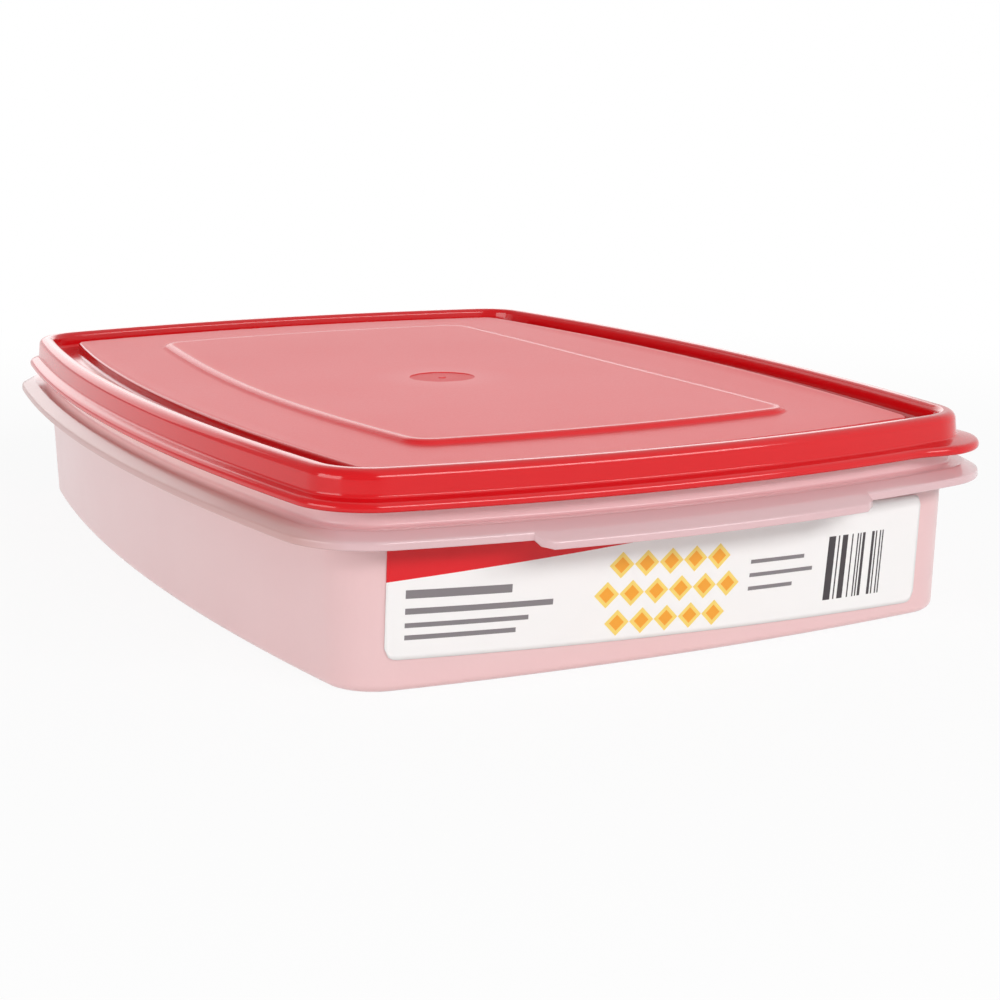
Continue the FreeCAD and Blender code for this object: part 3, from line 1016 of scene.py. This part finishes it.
# %% Print of the label
label_left = -82.2 * mm
label_right = 78.8 * mm
label_bottom = 6.3 * mm
label_gap = 3.9 * mm
label_top = flange_under - label_gap
label_width = label_right - label_left
label_height = label_top - label_bottom
label_roughness = 0.34
label_uneven_share = 0.08
label_lump = 12 * mm
white = (0.90, 0.89, 0.88, 1)
red = (0.72, 0.006, 0.012, 1)
grey = (0.22, 0.20, 0.21, 1)
black = (0.05, 0.04, 0.045, 1)
wedge_start_share = 0.64
wedge_slope = 0.52
print_line_shares = (
    (0.03, 0.20, 0.50, 0.57), (0.03, 0.27, 0.37, 0.42), (0.03, 0.23, 0.26, 0.30), (0.03, 0.21, 0.16, 0.20),
    (0.63, 0.74, 0.56, 0.595), (0.63, 0.76, 0.44, 0.475), (0.63, 0.72, 0.32, 0.355),
)
lozenge_left, lozenge_right, lozenge_pitch = 0.34, 0.61, 0.045
lozenge_rows = ((0.66, 0.5), (0.41, 0.0), (0.16, 0.5))
lozenge_inks = ((0.115, (0.90, 0.66, 0.16, 1)), (0.07, (0.88, 0.36, 0.03, 1)))
stripe_block_shares = (0.79, 0.915, 0.14, 0.72)
stripes_across = 330
stripe_share = 0.5


def label_print():
    """A white film with plain printed shapes, placed by the UV map."""
    material, board, place = new_material("label_print")
    uv = board.add("ShaderNodeUVMap", {"uv_map": "label"})
    u = board.add("ShaderNodeSeparateXYZ", {}, {0: uv})
    v = u.other("Y")

    def patch(left, right, bottom, top):
        """1 inside a rectangle of the print."""
        return (u > left) * (u < right) * (v > bottom) * (v < top)

    colour = mixed(board, v > wedge_start_share + wedge_slope * u, white, red)
    for left, right, bottom, top in print_line_shares:
        colour = mixed(board, patch(left, right, bottom, top), colour, grey)
    aspect = label_width / label_height
    for middle, shift in lozenge_rows:
        across = ((u - lozenge_left) / lozenge_pitch + shift).math("FRACT") - 0.5
        spread = across.math("ABSOLUTE") * lozenge_pitch * aspect + (v - middle).math("ABSOLUTE")
        inside = (u > lozenge_left + shift * lozenge_pitch) * (u < lozenge_right - shift * lozenge_pitch)
        for reach, ink in lozenge_inks:
            colour = mixed(board, inside * (spread < reach), colour, ink)
    bar = (u * stripes_across).math("FLOOR")
    stripe = board.add("ShaderNodeTexWhiteNoise", {"noise_dimensions": "1D"}, {"W": bar}) > stripe_share
    colour = mixed(board, patch(*stripe_block_shares) * stripe, colour, black)
    sheen = noise(board, place, label_lump)
    shader = board.add("ShaderNodeBsdfPrincipled", {}, {
        "Base Color": colour, "Roughness": label_roughness + label_uneven_share * sheen, "IOR": plastic_ior,
    })
    surface(board, shader)
    return material


label_finish = label_print()
print("label is", round(label_width / mm, 1), "by", round(label_height / mm, 1), "mm")

# %% Mesh of the label
label_corner_radius = 3.0 * mm
label_tilt = math.radians(1.6)
label_glue = 0.15 * mm
label_thickness = 0.2 * mm
label_steps_x = 96
label_steps_z = 24
label_crowding = 0.06


def end_wall(x, z, proud):
    """How far out the -Y end wall is at a place, moved out by the film and its glue."""
    share = (z - foot_radius) / (flange_under - foot_radius)
    bow = foot_short_bow + share * (short_bow - foot_short_bow)
    rho = foot_rho + share * (wall_top_rho - foot_rho) + proud
    radius = (core_x ** 2 + bow ** 2) / (2 * bow)
    on_side = core_y + bow - radius + np.sqrt((radius + rho) ** 2 - x ** 2)
    past = np.clip(np.abs(x) - core_x, 0, rho)
    on_corner = core_y + np.sqrt(rho ** 2 - past ** 2)
    return -np.where(np.abs(x) > core_x * (1 + rho / radius), on_corner, on_side)


def label_sheet():
    """A thin sheet on the end wall with a UV map of the print, its columns closer at the rounded ends."""
    steps_u = np.linspace(0, 1, label_steps_x + 1)
    steps_v = np.linspace(0, 1, label_steps_z + 1)
    u, v = np.meshgrid(steps_u, steps_v, indexing="ij")
    ease = u - label_crowding * np.sin(2 * math.pi * u)
    from_end = np.minimum(ease, 1 - ease) * label_width
    cut = label_corner_radius - np.sqrt(np.maximum(
        label_corner_radius ** 2 - np.maximum(label_corner_radius - from_end, 0) ** 2, 0))
    across = (ease - 0.5) * label_width
    up = (v - 0.5) * (label_height - 2 * cut)
    x = (label_left + label_right) / 2 + across * math.cos(label_tilt) + up * math.sin(label_tilt)
    z = (label_bottom + label_top) / 2 + up * math.cos(label_tilt) - across * math.sin(label_tilt)
    sheets = []
    for proud in (label_glue + label_thickness, label_glue):
        sheets.append(np.stack([x, end_wall(x, z, proud), z], axis=2).reshape(-1, 3))
    count = x.size
    index = np.arange(count).reshape(x.shape)
    front = np.stack([index[:-1, :-1], index[1:, :-1], index[1:, 1:], index[:-1, 1:]], axis=2)
    front = front.reshape(-1, 4)
    rim = np.concatenate([index[:, 0], index[-1, 1:-1], index[::-1, -1], index[0, -2:0:-1]])
    after = np.roll(rim, -1)
    edge = np.stack([after, rim, count + rim, count + after], axis=1)
    faces = np.concatenate([front, count + front[:, ::-1], edge]).tolist()
    mesh = bpy.data.meshes.new("end_label")
    mesh.from_pydata(np.concatenate(sheets).tolist(), [], faces)
    layer = mesh.uv_layers.new(name="label")
    print_u = across / label_width + 0.5
    print_v = up / label_height + 0.5
    flat = np.stack([print_u, print_v], axis=2).reshape(-1, 2)
    for loop in mesh.loops:
        layer.data[loop.index].uv = flat[loop.vertex_index % count]
    mesh.materials.append(label_finish)
    mesh.polygons.foreach_set("use_smooth", [True] * len(mesh.polygons))
    return in_scene("end_label", mesh)


label = label_sheet()
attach(label, "tub")
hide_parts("label")
print("label has", len(label.data.polygons), "faces")

# %% [markdown]
# ## Floor, light and camera
# The container stands on a white sweep. The camera, the glossy plastic and the clear walls see the
# background as plain white, while the light that falls on the object stays at a level where a colour
# renders about as it is written. Towards the left the room is darker in reflections, so that the lid's
# left edges keep their red. A wide softbox in front draws the bright lines along the edges, and two more
# light the left side and the back.

# %% White floor and world
floor_half = 4.0
floor_colour = (0.93, 0.93, 0.93, 1)
shadow_radius = 0.2
white_radius = 0.6
shadow_white_share = 0.9
ambient = 0.42
dark_side_start = 0.0
dark_side_width = 0.3
dark_side_share = 0.6


def sees_background(board):
    """1 for rays that should see plain white: from the camera, from gloss and through clear plastic."""
    path = board.add("ShaderNodeLightPath", {}, {}, "Is Camera Ray")
    seen = path.math("MAXIMUM", path.other("Is Glossy Ray"))
    return seen.math("MAXIMUM", path.other("Is Transmission Ray"))


def white_floor():
    """A pale floor that keeps the object's shadow and fades to white."""
    material, board, place = new_material("white_floor")
    matt = board.add("ShaderNodeBsdfDiffuse", {}, {"Color": floor_colour})
    glow = board.add("ShaderNodeEmission", {}, {"Strength": 1.0})
    distance = board.add("ShaderNodeVectorMath", {"operation": "LENGTH"}, {0: place}, "Value")
    fade = board.add("ShaderNodeMapRange", {"interpolation_type": "SMOOTHSTEP"}, {
        "Value": distance, "From Min": shadow_radius, "From Max": white_radius,
        "To Min": shadow_white_share, "To Max": 1.0,
    })
    share = sees_background(board) * fade
    surface(board, board.add("ShaderNodeMixShader", {}, {0: share, 1: matt, 2: glow}))
    return material


mesh = bpy.data.meshes.new("floor")
mesh.from_pydata([(-floor_half, -floor_half, 0), (floor_half, -floor_half, 0),
                  (floor_half, floor_half, 0), (-floor_half, floor_half, 0)], [], [(0, 1, 2, 3)])
mesh.materials.append(white_floor())
floor = in_scene("floor", mesh)

world = bpy.data.worlds.new("studio")
bpy.context.scene.world = world
world.use_nodes = True
world.node_tree.nodes.clear()
board = Wire(world.node_tree)
direction = board.add("ShaderNodeTexCoord", {}, {}, "Generated")
leftward = dark_side_start - board.add("ShaderNodeSeparateXYZ", {}, {0: direction})
dark_side = (leftward / dark_side_width).clamp()
from_gloss = board.add("ShaderNodeLightPath", {}, {}, "Is Glossy Ray")
strength = ambient + (1 - ambient) * sees_background(board)
strength = strength * (1 - dark_side_share * dark_side * from_gloss)
background = board.add("ShaderNodeBackground", {}, {"Color": (1, 1, 1, 1), "Strength": strength})
board.add("ShaderNodeOutputWorld", {}, {"Surface": background})
print("floor and world are white")

# %% Lamps
# Name, place, width and height in metres, and power in watts.
softboxes = (
    ("front_softbox", (0.25, -1.25, 0.66), 1.4, 0.28, 10.5),
    ("left_softbox", (-1.3, -0.1, 0.24), 0.9, 0.4, 5.0),
    ("back_softbox", (0.2, 1.6, 0.55), 2.4, 0.7, 5.6),
)
lit_point = Vector((0, 0, 0.03))

for name, place, width, height, power in softboxes:
    lamp = bpy.data.lights.new(name, "AREA")
    lamp.shape = "RECTANGLE"
    lamp.size = width
    lamp.size_y = height
    lamp.energy = power
    softbox = in_scene(name, lamp)
    softbox.location = place
    softbox.rotation_mode = "QUATERNION"
    softbox.rotation_quaternion = (lit_point - Vector(place)).to_track_quat("-Z", "Y")
print(len(softboxes), "softboxes look at the middle of the object")

# %% Camera at the photograph's angle
camera_azimuth = math.radians(-26.848)
camera_elevation = math.radians(12.152)
camera_distance = 0.646944
camera_target = Vector((0.020926, 0.000203, 0.011426))
camera_lens = 70.515
camera_sensor_width = 36.0
camera_clip_start = 0.01

back = Vector((
    math.sin(camera_azimuth) * math.cos(camera_elevation),
    -math.cos(camera_azimuth) * math.cos(camera_elevation),
    math.sin(camera_elevation),
))
camera_data = bpy.data.cameras.new("camera")
camera_data.lens = camera_lens
camera_data.sensor_width = camera_sensor_width
camera_data.clip_start = camera_clip_start
camera = in_scene("camera", camera_data)
camera.location = camera_target + back * camera_distance
camera.rotation_mode = "QUATERNION"
camera.rotation_quaternion = (-back).to_track_quat("-Z", "Y")
bpy.context.scene.camera = camera
bpy.context.scene.view_settings.view_transform = "Standard"
print("camera at", tuple(round(x, 4) for x in camera.location))
